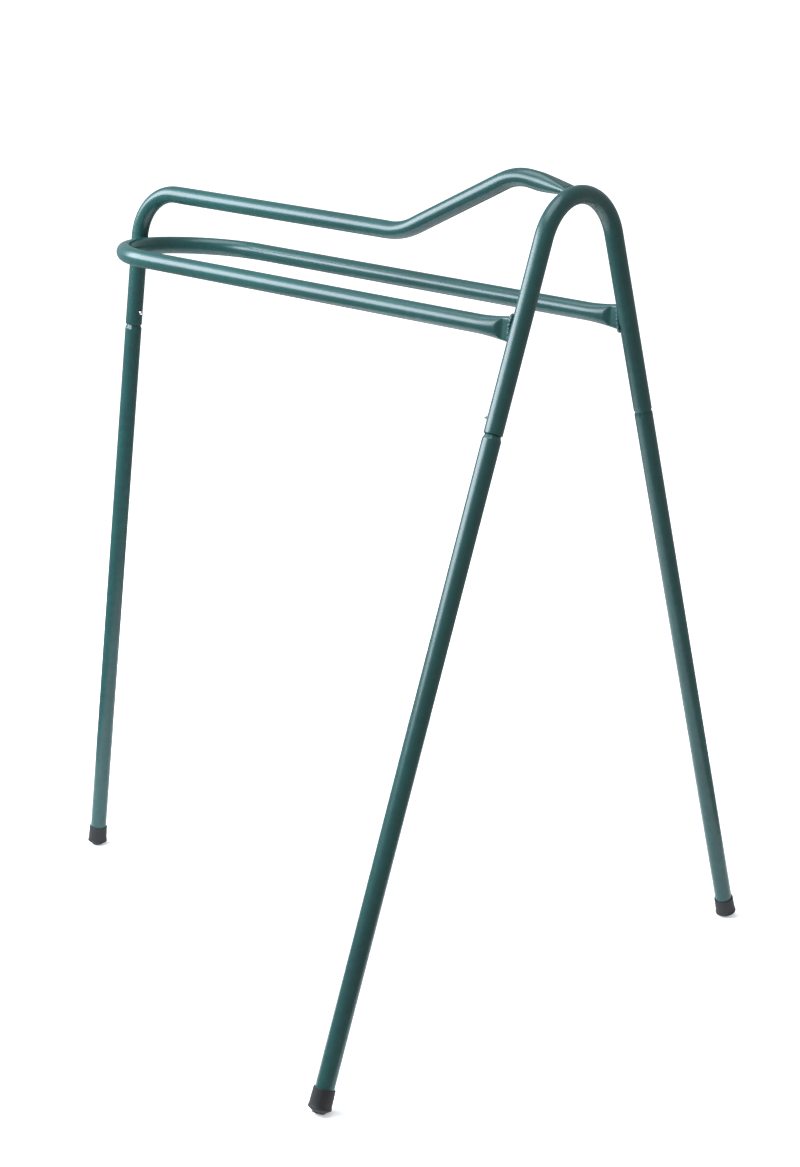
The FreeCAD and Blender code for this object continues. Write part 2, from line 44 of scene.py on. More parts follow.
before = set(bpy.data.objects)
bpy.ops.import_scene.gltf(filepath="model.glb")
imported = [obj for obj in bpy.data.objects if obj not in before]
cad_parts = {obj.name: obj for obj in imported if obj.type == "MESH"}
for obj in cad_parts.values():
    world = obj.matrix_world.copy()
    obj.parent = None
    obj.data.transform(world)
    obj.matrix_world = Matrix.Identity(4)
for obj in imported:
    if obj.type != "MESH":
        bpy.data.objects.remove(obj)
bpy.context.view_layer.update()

MM = 0.001
LEGS = ("front_right", "front_left", "rear")


# ---------------------------------------------------------------- what a user may change
def length(name, description, millimetres):
    """A length in the panel, given here in millimetres."""
    return bpy.props.FloatProperty(name=name, description=description, default=millimetres * MM,
                                   min=0.0, precision=5, unit="LENGTH", subtype="DISTANCE")


def angle(name, description, degrees):
    """An angle in the panel, given here in degrees."""
    return bpy.props.FloatProperty(name=name, description=description,
                                   default=math.radians(degrees), unit="ROTATION", subtype="ANGLE")


def share(name, description, value, top=1.0):
    """A plain number from nothing to top."""
    return bpy.props.FloatProperty(name=name, description=description, default=value,
                                   min=0.0, max=top, subtype="FACTOR" if top == 1.0 else "NONE")


def colour(name, description, value):
    """A colour in the panel, in linear light."""
    return bpy.props.FloatVectorProperty(name=name, description=description, default=value,
                                         size=3, min=0.0, max=1.0, subtype="COLOR")


class RackTubes(bpy.types.PropertyGroup):
    """Sizes that every tube of the rack shares."""
    diameter: length("Tube diameter", "Outside diameter of every tube", 19.0)
    wall: length("Tube wall", "Wall of every tube", 1.5)
    rim: length("Rim round", "Rounding on a tube's cut end", 0.45)
    splay: angle("Splay", "Front legs from the vertical", 20.2)
    rake: angle("Rake", "Rear leg from the vertical", 5.77)
    leg: length("Lower leg", "Joint to the underside of the foot", 656.9)
    hoop_radius: length("Hoop radius", "Centreline radius of the hoop's top", 61.5)
    hoop_side: length("Hoop side", "Straight side of the hoop, bend to joint", 193.2)
    pitch: length("Grid pitch", "Spacing of the surface grid along a tube", 6.0)
    around: bpy.props.IntProperty(name="Grid around", description="Faces round a tube",
                                  default=72, min=24, max=144)


class RackRidge(bpy.types.PropertyGroup):
    """The run of the long ridge tube."""
    length: length("Ridge length", "Hoop to the ridge's rear corner", 615.0)
    fall: angle("Ridge fall", "Fall of the rear run towards the front", 3.03)
    rear_bend: length("Rear bend", "Centreline radius of the rear bend", 57.0)
    dip_setback: length("Dip setback", "Hoop to the dip's corner", 225.4)
    dip_drop: length("Dip drop", "Dip's corner below the hoop's top centreline", 51.7)
    dip_bend: length("Dip bend", "Centreline radius of the dip", 76.0)
    rise: angle("Rise", "Rise from the dip to the crest", 24.43)
    crest_setback: length("Crest setback", "Hoop to the crest's corner", 78.8)
    crest_bend: length("Crest bend", "Centreline radius of the crest", 57.0)


class RackRails(bpy.types.PropertyGroup):
    """The side rails, which are one loop, and their flattened ends."""
    half_width: length("Half width", "Centre plane to each rail", 89.2)
    fall: angle("Rail fall", "Fall of the rails towards the front", 3.03)
    bite: length("Loop bite", "Depth of the seat where the loop meets the upright", 1.0)
    shaped: length("Shaped reach", "How much of a rail end is shaped, from the hoop's axis", 50.0)
    flat: length("Flat reach", "How much of a rail end is fully flat, from the hoop's axis", 18.0)
    nose_flat: length("Nose flat", "How much of the ridge end is fully flat, from the hoop's axis",
                      11.0)
    thickness: length("Flat thickness", "Thickness of a flattened end", 6.5)
    tall: length("Flat height", "Long way across a flattened end", 26.0)
    press: length("Press mark", "Reach of the press on a rail's end, from the hoop's axis", 19.5)
    bead: length("Weld bead", "Radius of the bead round a rail's end", 2.1)


class RackJoints(bpy.types.PropertyGroup):
    """The spigots, snap buttons and spring strips that join the legs."""
    spigot: length("Spigot", "Swaged top of each leg inside its upper tube", 45.0)
    clearance: length("Spigot clearance", "Radial clearance of the spigot", 0.3)
    swage: length("Swage", "Tapered shoulder of each leg", 5.5)
    button_height: length("Button height", "Button above the upper tube's end", 15.0)
    button: length("Button diameter", "Diameter of the snap button", 5.0)
    hole_clearance: length("Hole clearance", "Radial clearance of the button", 0.3)
    proud: length("Button stand-out", "Button above the upper tube's surface", 3.5)
    turn: angle("Button turn", "Front buttons, from straight back towards outside", 35.0)
    strip: length("Strip width", "Width of the spring strip", 7.0)
    gauge: length("Strip gauge", "Thickness of the spring strip", 0.6)
    strip_gap: length("Strip gap", "Strip's edge to the bore", 0.2)
    strip_top: length("Strip top", "Strip's arms above the joint", 24.0)
    strip_knee: length("Strip knee", "Strip's knee below the joint", 6.0)
    strip_bend: length("Strip bend", "Return bend below the joint", 20.0)
    strip_round: length("Strip bend radius", "Outside of the return bend", 3.0)


class RackFeet(bpy.types.PropertyGroup):
    """The rubber ferrules."""
    length: length("Ferrule length", "Length of the rubber ferrule", 24.0)
    top_wall: length("Top wall", "Rubber at the ferrule's top", 1.25)
    waist_wall: length("Waist wall", "Rubber just above the rim", 1.5)
    rim_wall: length("Rim wall", "Rubber at the rim", 2.2)
    sole: length("Sole", "Diameter of the sole", 13.6)
    rim_low: length("Rim, lower edge", "Above the sole", 4.6)
    rim_high: length("Rim, upper edge", "Above the sole", 6.0)
    waist: length("Waist", "End of the rim's flare above the sole", 9.5)
    floor: length("Rubber floor", "Rubber under the tube's end", 5.5)
    round: length("Sole round", "Edge of the sole", 1.5)
    wear: length("Wear", "Depth of the flat that meets the floor", 0.5)


class RackFinish(bpy.types.PropertyGroup):
    """Colours and gloss."""
    coat: colour("Coat", "Green powder coat", (0.0115, 0.069, 0.064))
    coat_dark: colour("Coat, thin", "Where the coat lies thinner", (0.0085, 0.051, 0.049))
    gloss: share("Coat roughness", "Roughness of the powder coat", 0.27)
    peel: share("Orange peel", "Strength of the coat's fine ripple", 0.12)
    rubber: colour("Rubber", "Black rubber", (0.010, 0.010, 0.0105))
    nickel: colour("Nickel", "Snap buttons", (0.72, 0.70, 0.66))
    spring: colour("Spring steel", "Spring strips", (0.30, 0.29, 0.27))
    floor: colour("Floor", "Studio floor", (0.88, 0.88, 0.88))


class RackStudio(bpy.types.PropertyGroup):
    """Camera and light."""
    lens: bpy.props.FloatProperty(name="Lens", description="Focal length in millimetres",
                                  default=69.44, min=10.0)
    azimuth: angle("Azimuth", "Camera round the rack", 40.21)
    elevation: angle("Elevation", "Camera above the horizon", 13.23)
    roll: angle("Roll", "Camera's tilt about its own axis", 1.61)
    place: bpy.props.FloatVectorProperty(name="Camera place", description="Camera position",
                                         default=(1.6444, -1.7880, 0.9665), size=3,
                                         unit="LENGTH", subtype="TRANSLATION")
    key: share("Key light", "Brightness of the large panel on the left", 10.5, 1000.0)
    edge: share("Key edge", "Brightness of the key light's soft edge, as a share of it", 0.18)
    top: share("Top light", "Brightness of the overhead panel", 4.0, 1000.0)
    room: share("Room light", "Brightness of the even light all round", 0.5, 10.0)
    glow: share("Paper glow", "The floor's own light, which keeps it white", 0.4, 10.0)
    sweep: share("Sweep glow", "Light of the far sweep, on top of the paper's", 0.6, 10.0)
    paper: length("Paper reach", "Radius of the paper that lights the rack from below", 680.0)
    tint: colour("Light colour", "Colour of the panels", (0.82, 0.90, 1.0))


# ---------------------------------------------------------------- where everything is
def leg_frame(place, turn, about):
    """A leg's own frame: its origin is the joint, and its third column points up the leg."""
    return Matrix.Translation(place) @ Matrix.Rotation(turn, 4, about)


def layout(scene):
    """Every position that the pieces share, in metres, worked out from the panel's sizes."""
    t, g, r, j, f = (scene.rack_tubes, scene.rack_ridge, scene.rack_rails, scene.rack_joints,
                     scene.rack_feet)
    at = SimpleNamespace()
    at.radius = t.diameter / 2
    at.bore = at.radius - t.wall
    at.spigot = at.bore - j.clearance
    at.spigot_bore = at.spigot - t.wall
    at.sole_flat = f.sole / 2 - f.round
    lift = [at.sole_flat * math.sin(a) + f.round * (1 - math.cos(a)) - f.wear
            for a in (t.splay, t.rake)]
    at.joint_z = t.leg * math.cos(t.splay) + lift[0]
    at.joint_y = t.hoop_radius * math.cos(t.splay) + t.hoop_side * math.sin(t.splay)
    at.apex_z = (at.joint_z + t.hoop_side * math.cos(t.splay)
                 + t.hoop_radius * (1 - math.sin(t.splay)))
    at.dip_z = at.apex_z - g.dip_drop
    at.corner_z = at.dip_z + (g.length - g.dip_setback) * math.tan(g.fall)
    at.rear_z = t.leg * math.cos(t.rake) + lift[1]
    rear_back = g.length + (at.corner_z - at.rear_z) * math.tan(t.rake)
    foot_back = rear_back + t.leg * math.sin(t.rake)
    rim = at.radius + f.rim_wall
    at.hoop_x = (foot_back + rim * math.cos(t.rake) - f.rim_low * math.sin(t.rake) - rim) / 2
    at.rear_x = at.hoop_x - rear_back
    at.crest_z = at.dip_z + (g.dip_setback - g.crest_setback) * math.tan(g.rise)
    at.rail_z = at.joint_z + (at.joint_y - r.half_width) / math.tan(t.splay)
    at.seat = t.diameter - r.bite
    at.reach = ((rear_back * math.cos(t.rake) - (at.rail_z - at.rear_z) * math.sin(t.rake)
                 - at.seat) / math.cos(r.fall - t.rake))
    at.strip_face = math.sqrt(at.spigot_bore ** 2 - (j.strip / 2) ** 2) - j.strip_gap
    at.frames = {
        "front_right": leg_frame((at.hoop_x, -at.joint_y, at.joint_z), -t.splay, "X"),
        "front_left": leg_frame((at.hoop_x, at.joint_y, at.joint_z), t.splay, "X"),
        "rear": leg_frame((at.rear_x, 0.0, at.rear_z), t.rake, "Y"),
    }
    at.turns = {"front_right": math.pi + j.turn, "front_left": math.pi - j.turn, "rear": 0.0}
    at.loop = (Matrix.Translation((at.hoop_x, 0.0, at.rail_z)) @ Matrix.Rotation(r.fall, 4, "Y"))
    return at


def placed(matrix, points):
    """Points, or an array of them, carried by a matrix."""
    m = np.array(matrix)
    return np.asarray(points, float) @ m[:3, :3].T + m[:3, 3]


def turned(matrix, vectors):
    """Directions turned by a matrix."""
    return np.asarray(vectors, float) @ np.array(matrix)[:3, :3].T


def unit(vectors):
    """Vectors at length one."""
    vectors = np.asarray(vectors, float)
    return vectors / np.maximum(np.linalg.norm(vectors, axis=-1, keepdims=True), 1e-12)


# ---------------------------------------------------------------- surfaces
class Route:
    """A bent tube's centreline in one plane: straight runs joined by arcs that are tangent
    to both. A point of an arc is its start, plus the radius times sine of the turned angle
    along the way in, plus the radius times one minus its cosine towards the centre. fine is a
    list of (centre, half reach, step) along the tube, where the grid has a step of its own."""

    def __init__(self, corners, bends, normal):
        corners = np.array(corners, float)
        ways = unit(np.diff(corners, axis=0))
        self.normal = unit(normal)
        self.runs, self.bends, self.fine = [], [], []
        begin, here = corners[0], 0.0
        for k, way in enumerate(ways):
            finish = corners[k + 1]
            turn = 0.0
            if k < len(bends):
                turn = math.acos(np.clip(way @ ways[k + 1], -1, 1))
                finish = finish - way * bends[k] * math.tan(turn / 2)
            run = np.linalg.norm(finish - begin)
            self.runs.append((here, begin, way, 0.0, way))
            here += run
            if k < len(bends):
                inward = unit(ways[k + 1] - way * (way @ ways[k + 1]))
                self.runs.append((here, finish, way, bends[k], inward))
                self.bends.append((here, here + bends[k] * turn, bends[k]))
                here += bends[k] * turn
                begin = corners[k + 1] + ways[k + 1] * bends[k] * math.tan(turn / 2)
        self.length = here

    def at(self, s):
        """Points and directions at distances s along the centreline, for an array of any shape."""
        s = np.asarray(s, float)
        points = np.zeros(s.shape + (3,))
        ways = np.zeros(s.shape + (3,))
        for k, (start, begin, way, bend, inward) in enumerate(self.runs):
            mask = (s >= start) if k else np.ones(s.shape, bool)
            along = (s - start)[mask][:, None]
            if bend:
                turn = along / bend
                points[mask] = begin + bend * (np.sin(turn) * way + (1 - np.cos(turn)) * inward)
                ways[mask] = np.cos(turn) * way + np.sin(turn) * inward
            else:
                points[mask] = begin + along * way
                ways[mask] = way
        return points, ways

    def stations(self, pitch, holes):
        """Distances along the centreline for the grid: a wide pitch on straight runs, a closer
        one in bends, and an even one of its own over each (centre, half reach, step) of holes
        and of fine."""
        fine = holes + self.fine
        marks = [np.array([0.0, self.length])]
        for start, stop, bend in self.bends:
            marks.append(np.linspace(start, stop, max(8, int((stop - start) / bend / 0.045))))
        spans = [(a, b) for a, b, _ in self.bends] + [(c - h, c + h) for c, h, _ in fine]
        even = np.linspace(0, self.length, int(self.length / pitch) + 1)
        for a, b in spans:
            even = even[(even < a - 0.4 * pitch) | (even > b + 0.4 * pitch)]
        marks.append(even)
        for centre, half, step in fine:
            marks.append(centre + np.arange(-round(half / step), round(half / step) + 1) * step)
        return np.unique(np.round(np.concatenate(marks), 9))


def sections(route, s, across, up):
    """Points off a centreline: across along the bend plane's normal, up at right angles to it."""
    points, ways = route.at(s)
    side = np.broadcast_to(route.normal, ways.shape)
    return points + across[..., None] * side + up[..., None] * np.cross(ways, side)


RIM_STEPS = 4


def wall_outline(stations, radius, bore, rim):
    """A tube wall's outline, as distance along the tube and distance from its centreline: along
    the outside, round the far rim, back along the bore and round the near rim. A rim is two
    quarter circles. Also gives how many stations lie on each side."""
    first, last = stations[0], stations[-1]
    body = stations[(stations > first + 1.5 * rim) & (stations < last - 1.5 * rim)]
    body = np.concatenate([[first + rim], body, [last - rim]])
    q = np.linspace(0, np.pi / 2, RIM_STEPS + 1)[1:]
    out, back = np.full(len(body), radius), np.full(len(body), bore)
    s = np.concatenate([
        body, last - rim + rim * np.sin(q), last - rim + rim * np.cos(q),
        body[::-1], first + rim - rim * np.sin(q), first + rim - rim * np.cos(q)[:-1]])
    r = np.concatenate([
        out, radius - rim + rim * np.cos(q), bore + rim - rim * np.sin(q),
        back, bore + rim - rim * np.cos(q), radius - rim + rim * np.sin(q)[:-1]])
    return s, r, len(body)


class Skin:
    """A mesh being made: one or more grids of points and the faces between them."""

    def __init__(self):
        self.points, self.faces, self.count = [], [], 0

    def grid(self, points, wrap_u=False, keep=None):
        """Adds a grid of points and its four-sided faces, and returns the points' numbers. The
        grid closes on itself along its rows, and with wrap_u from the last row to the first."""
        nu, nv = points.shape[:2]
        numbers = self.count + np.arange(nu * nv).reshape(nu, nv)
        rows = np.arange(nu if wrap_u else nu - 1)
        i, k = np.meshgrid(rows, np.arange(nv), indexing="ij")
        quads = np.stack([numbers[i, k], numbers[(i + 1) % nu, k],
                          numbers[(i + 1) % nu, (k + 1) % nv], numbers[i, (k + 1) % nv]], -1)
        self.faces.append(quads[keep] if keep is not None else quads.reshape(-1, 4))
        self.points.append(points.reshape(-1, 3))
        self.count += nu * nv
        return numbers

    def bridge(self, one, other):
        """Adds the faces between two closed rings of point numbers."""
        self.faces.append(np.stack([one, np.roll(one, -1), np.roll(other, -1), other], -1))

    def build(self, name, material, sharp=38):
        """Makes the object: loose points go, doubles merge, faces point outwards, and edges
        over sharp degrees stay sharp."""
        mesh = bpy.data.meshes.new(name)
        mesh.from_pydata(np.concatenate(self.points).tolist(), [],
                         np.concatenate(self.faces).tolist())
        work = bmesh.new()
        work.from_mesh(mesh)
        bmesh.ops.delete(work, geom=[v for v in work.verts if not v.link_faces],
                         context="VERTS")
        bmesh.ops.remove_doubles(work, verts=work.verts, dist=1e-7)
        bmesh.ops.recalc_face_normals(work, faces=work.faces)
        work.to_mesh(mesh)
        work.free()
        mesh.shade_smooth()
        mesh.set_sharp_from_angle(angle=math.radians(sharp))
        made = bpy.data.objects.new(name, mesh)
        bpy.context.scene.collection.objects.link(made)
        made.data.materials.append(material)
        return made


def grid_object(name, points, material, sharp=38, wrap_u=False):
    """An object that is one grid of points."""
    skin = Skin()
    skin.grid(points, wrap_u)
    return skin.build(name, material, sharp)


HOLE_REACH, HOLE_KEPT = 8, 4


def hole_ring():
    """Row and column steps round the square of grid points that becomes a hole's edge."""
    k = np.arange(-HOLE_KEPT, HOLE_KEPT)
    edge = np.full(k.shape, HOLE_KEPT)
    return (np.concatenate([k, edge, -k, -edge]), np.concatenate([-edge, k, edge, -k]))


def pierce(s, v, r, row, step, hole):
    """Draws the grid lines round a hole: near it, each square of grid points goes over to a
    circle of the hole's radius, the further in the more. row is the hole's centre row, and
    step is 1 or -1 as the distance along the tube grows or falls with the row number."""
    reach, kept = HOLE_REACH, HOLE_KEPT
    i, k = np.meshgrid(np.arange(-reach, reach + 1), np.arange(-reach, reach + 1), indexing="ij")
    ring = np.maximum(np.maximum(np.abs(i), np.abs(k)), 1)
    around = np.arctan2(k, i * step)
    blend = np.clip((ring - kept) / (reach - kept), 0, 1)
    rows, cols = row + i, k % v.shape[1]
    pitch_s = abs(s[row + 1, 0] - s[row, 0])
    pitch_v = 2 * np.pi / v.shape[1]
    radius = r[row, 0]
    centre_s, centre_v = s[row, 0], v[0, 0]
    s[rows, cols] = centre_s + (1 - blend) * hole * np.cos(around) \
        + blend * reach * pitch_s * step * i / ring
    v[rows, cols] = centre_v + (1 - blend) * np.arcsin(hole * np.sin(around) / radius) \
        + blend * reach * pitch_v * k / ring


def tube_shell(scene, at, name, route, shape, phase=0.0, holes=()):
    """A tube as one closed wall: the wall's outline carried round the centreline, so a point is
    the centreline's, plus its distance out times cosine and sine of the angle round. holes are
    the button holes' distances along the tube, all at the angle phase. shape is given the arrays
    of distance along, angle and distance out. It returns the distance along, which it may
    change, and the two offsets from the centreline."""
    tubes, joints = scene.rack_tubes, scene.rack_joints
    hole = joints.button / 2 + joints.hole_clearance
    pitch_round = 2 * math.pi * at.radius / tubes.around
    fine = [(h, (HOLE_REACH + 1) * pitch_round, pitch_round) for h in holes]
    stations = route.stations(tubes.pitch, fine)
    s, r, body = wall_outline(stations, at.radius, at.bore, tubes.rim)
    v = phase + np.arange(tubes.around) * 2 * np.pi / tubes.around
    s, v = [a.copy() for a in np.broadcast_arrays(s[:, None], v[None, :])]
    r = np.broadcast_to(r[:, None], s.shape).copy()
    inner_start = body + 2 * RIM_STEPS
    keep = np.ones(s.shape, bool)
    rings = []
    for h in holes:
        for low, step in ((0, 1), (inner_start, -1)):
            row = low + int(np.argmin(np.abs(s[low:low + body, HOLE_REACH + 3] - h)))
            pierce(s, v, r, row, step, hole)
            cells = np.arange(-HOLE_KEPT, HOLE_KEPT)
            keep[np.ix_(row + cells, cells % tubes.around)] = False
            ring_i, ring_k = hole_ring()
            rings.append((row + ring_i * step, ring_k % tubes.around))
    s, across, up = shape(s, v, r)
    skin = Skin()
    numbers = skin.grid(sections(route, s, across, up), wrap_u=True, keep=keep)
    for one, other in zip(rings[::2], rings[1::2]):
        skin.bridge(numbers[one], numbers[other])
    return skin.build(name, coat_of(scene))


def ovalled(route, s, across, up, amount):
    """The two offsets after a drawn bend has ovalled the tube: wider across the bend's plane and
    flatter in it, by a share that rises and falls smoothly in each bend."""
    total = np.zeros(s.shape)
    for start, stop, _ in route.bends:
        soft = min(0.25 * (stop - start), 0.012)
        rise = np.clip((s - start + soft) / (2 * soft), 0, 1)
        fall = np.clip((stop + soft - s) / (2 * soft), 0, 1)
        total = np.maximum(total, (rise * rise * (3 - 2 * rise)) * (fall * fall * (3 - 2 * fall)))
    oval = amount * total
    return across * (1 + oval), up * (1 - oval)


def waves(w, q, seed, count=28, finest=40):
    """Smooth, seamless unevenness over two angles: a sum of sine waves with whole numbers of
    turns both ways and seeded phases, the finer the weaker, from about -1 to 1."""
    draw = np.random.default_rng(seed)
    turns_w = draw.integers(1, finest, count)
    turns_q = draw.integers(-3, 4, count)
    lag = draw.uniform(0, 2 * np.pi, count)
    weight = 1 / np.sqrt(turns_w + 4 * np.abs(turns_q))
    total = (weight * np.sin(w[..., None] * turns_w + q[..., None] * turns_q + lag)).sum(-1)
    return total / np.sqrt((weight ** 2).sum() * 2)


def weld_bead(name, centre, out, radius, unevenness, ripples, seed, material, around=20):
    """A weld bead: a ring carried round a closed line. A point is the line's, plus the bead's
    radius times cosine and sine round it. The radius swells in uneven waves, and in overlapping
    ripples that trail along the bead unless it was dressed and has none."""
    way = unit(np.roll(centre, -1, 0) - np.roll(centre, 1, 0))
    out = unit(out - (out * way).sum(-1, keepdims=True) * way)
    over = np.cross(way, out)
    gaps = np.linalg.norm(np.roll(centre, -1, 0) - centre, axis=1)
    along = np.concatenate([[0], np.cumsum(gaps)[:-1]]) / gaps.sum() * 2 * np.pi
    w, q = np.meshgrid(along, np.arange(around) * 2 * np.pi / around, indexing="ij")
    swell = unevenness * (waves(w, q, seed) + 0.5 * waves(w, q, seed + 1, 40, 90))
    if ripples:
        trail, height, middle = 0.55, 0.16, 0.6
        swell = swell + height * (np.abs(np.sin(w * ripples / 2 + trail * np.cos(q))) - middle)
    r = radius * (1 + swell)
    points = (centre[:, None] + (r * np.cos(q))[..., None] * out[:, None]
              + (r * np.sin(q))[..., None] * over[:, None])
    made = grid_object(name, points, material, 50, wrap_u=True)
    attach(made, "frame")
    return made


def turned_profile(rings, around):
    """A profile turned about the third axis: a point is its distance from the axis times cosine
    and sine of the angle, at its height. rings are (distance, height) rows."""
    rings = np.array(rings, float)
    v = np.arange(around) * 2 * np.pi / around
    r = rings[:, 0][:, None] * np.ones(around)
    z = rings[:, 1][:, None] * np.ones(around)
    return r, z, np.broadcast_to(v, r.shape)


def arc(centre, radius, start, stop, steps):
    """Points of an arc as (distance, height) rows, angles in degrees from outwards to up."""
    a = np.radians(np.linspace(start, stop, steps))
    return np.stack([centre[0] + radius * np.cos(a), centre[1] + radius * np.sin(a)], -1)


# ---------------------------------------------------------------- materials
class Wire:
    """One output in a material's nodes. Arithmetic on it adds the node that does it."""

    def __init__(self, paint, socket):
        self.paint, self.socket = paint, socket

    def _maths(self, operation, *values):
        return self.paint.node("ShaderNodeMath", {"operation": operation}, values)

    def __add__(self, other):
        return self._maths("ADD", self, other)

    def __radd__(self, other):
        return self._maths("ADD", other, self)

    def __sub__(self, other):
        return self._maths("SUBTRACT", self, other)

    def __rsub__(self, other):
        return self._maths("SUBTRACT", other, self)

    def __mul__(self, other):
        return self._maths("MULTIPLY", self, other)

    def clipped(self, low, high):
        """From 0 at low to 1 at high, and level outside them."""
        return self.paint.node("ShaderNodeMapRange", {"clamp": True},
                               {"Value": self, "From Min": low, "From Max": high})


class Paint:
    """A material and its nodes."""

    def __init__(self, name):
        self.material = bpy.data.materials.new(name)
        self.material.use_nodes = True
        self.tree = self.material.node_tree
        self.shader = self.tree.nodes["Principled BSDF"]
        where = self.tree.nodes.new("ShaderNodeTexCoord")
        self.place = Wire(self, where.outputs["Object"])

    def node(self, kind, settings=None, values=(), output=0):
        """Adds a node: its settings first, then the numbers, colours or wires of its inputs, by
        place or by name. Gives one of its outputs."""
        made = self.tree.nodes.new(kind)
        for key, value in (settings or {}).items():
            setattr(made, key, value)
        pairs = values.items() if isinstance(values, dict) else enumerate(values)
        for key, value in pairs:
            if isinstance(value, Wire):
                self.tree.links.new(value.socket, made.inputs[key])
            elif value is not None:
                made.inputs[key].default_value = value
        return Wire(self, made.outputs[output])

    def noise(self, scale, detail=3.0, roughness=0.5, stretch=None):
        """Even noise from 0 to 1 at so many cells per metre, maybe stretched by a Mapping."""
        place = self.place
        if stretch:
            place = self.node("ShaderNodeMapping", {}, {"Vector": place, "Scale": stretch})
        return self.node("ShaderNodeTexNoise", {}, {
            "Vector": place, "Scale": scale, "Detail": detail, "Roughness": roughness})

    def mix(self, factor, one, other):
        """One colour going over to another."""
        return self.node("ShaderNodeMix", {"data_type": "RGBA"},
                         {0: factor, 6: one, 7: other}, output=2)

    def bump(self, height, depth, strength, under=None):
        """A normal from a height, with depth in metres."""
        return self.node("ShaderNodeBump", {}, {
            "Height": height, "Distance": depth, "Strength": strength, "Normal": under})

    def shade(self, **inputs):
        """Sets the shader's own inputs to numbers, colours or wires."""
        for key, value in inputs.items():
            socket = self.shader.inputs[key.replace("_", " ")]
            if isinstance(value, Wire):
                self.tree.links.new(value.socket, socket)
            else:
                socket.default_value = value
        return self.material


def rgba(tint, factor=1.0):
    """A colour as four numbers, lighter or darker by a factor."""
    return tuple(min(1.0, c * factor) for c in tint) + (1.0,)


def finish_called(name, make):
    """The finish of that name, made the first time it is asked for."""
    return bpy.data.materials.get(name) or make(name)


def powder_coat(name, finish, grit=0.0):
    """Green powder coat: fine orange peel, and slow drifts of depth. grit adds the
    coarse spatter under the coat on a weld."""
    paint = Paint(name)
    drift = paint.noise(9.0, 2.0)
    cloud = paint.noise(140.0, 3.0)
    peel = paint.noise(780.0, 2.0, 0.45)
    tone = paint.mix((drift * 0.6 + cloud * 0.4).clipped(0.36, 0.64),
                     rgba(finish.coat_dark), rgba(finish.coat))
    normal = paint.bump(peel, 0.00022, finish.peel)
    if grit:
        spatter = paint.noise(1100.0, 2.0, 0.5)
        lumps = paint.node("ShaderNodeTexVoronoi", {"feature": "SMOOTH_F1"},
                           {"Vector": paint.place, "Scale": 900.0, "Smoothness": 0.4})
        normal = paint.bump(spatter - lumps * 0.5, 0.0005, grit, normal)
    return paint.shade(Base_Color=tone, Roughness=finish.gloss + 0.1 * grit, Normal=normal,
                       Specular_IOR_Level=0.5, IOR=1.5)


def ferrule_rubber(name, finish):
    """Black moulded rubber: fine grain, scuffs, and pale dust that gathers low on the ferrule."""
    paint = Paint(name)
    grain = paint.noise(1100.0, 3.0, 0.55)
    scuff = paint.noise(90.0, 4.0, 0.6, stretch=(1.0, 1.0, 0.25))
    height = paint.node("ShaderNodeSeparateXYZ", {}, [paint.place], output=2)
    dust = (1.0 - height.clipped(0.0, 0.014)) * scuff.clipped(0.42, 0.62)
    tone = paint.mix(scuff.clipped(0.35, 0.7), rgba(finish.rubber), rgba(finish.rubber, 1.7))
    tone = paint.mix(dust * 0.25, tone, rgba(finish.rubber, 5.0))
    normal = paint.bump(grain, 0.0002, 0.18)
    return paint.shade(Base_Color=tone, Roughness=0.50 + scuff * 0.22, Normal=normal,
                       Specular_IOR_Level=0.42)


def bright_nickel(name, finish):
    """Nickel plate on the snap buttons: bright, with faint polishing haze."""
    paint = Paint(name)
    haze = paint.noise(1600.0, 3.0, 0.6)
    fine = paint.noise(5200.0, 2.0, 0.5)
    tone = paint.mix(haze.clipped(0.3, 0.7), rgba(finish.nickel, 0.85), rgba(finish.nickel, 1.08))
    return paint.shade(Base_Color=tone, Metallic=1.0, Roughness=0.13 + haze * 0.12,
                       Normal=paint.bump(fine, 0.00003, 0.15))


def rolled_steel(name, tint):
    """Rolled or drawn steel: fine lines along the roll, and faint oil stains."""
    paint = Paint(name)
    lines = paint.noise(2600.0, 3.0, 0.6, stretch=(1.0, 1.0, 0.06))
    stain = paint.noise(150.0, 3.0)
    tone = paint.mix(stain.clipped(0.35, 0.68), rgba(tint, 0.72), rgba(tint, 1.12))
    return paint.shade(Base_Color=tone, Metallic=0.9, Roughness=0.30 + lines * 0.25,
                       Normal=paint.bump(lines, 0.00005, 0.2))


def coat_of(scene):
    return finish_called("green_powder_coat", lambda n: powder_coat(n, scene.rack_finish))


def weld_coat_of(scene):
    return finish_called("green_coat_on_weld", lambda n: powder_coat(n, scene.rack_finish, 0.3))


# ---------------------------------------------------------------- routes of the tubes
def hoop_route(at, tubes):
    """The hoop: two splayed legs joined by one bend, in the upright plane across the rack."""
    tip = at.joint_z + at.joint_y / math.tan(tubes.splay)
    return Route([(at.hoop_x, -at.joint_y, at.joint_z), (at.hoop_x, 0.0, tip),
                  (at.hoop_x, at.joint_y, at.joint_z)], [tubes.hoop_radius], (1, 0, 0))


def ridge_route(at, ridge):
    """The ridge: up the rear, forwards along the top, through the dip and over the crest."""
    return Route([(at.rear_x, 0, at.rear_z), (at.hoop_x - ridge.length, 0, at.corner_z),
                  (at.hoop_x - ridge.dip_setback, 0, at.dip_z),
                  (at.hoop_x - ridge.crest_setback, 0, at.crest_z), (at.hoop_x, 0, at.apex_z)],
                 [ridge.rear_bend, ridge.dip_bend, ridge.crest_bend], (0, 1, 0))


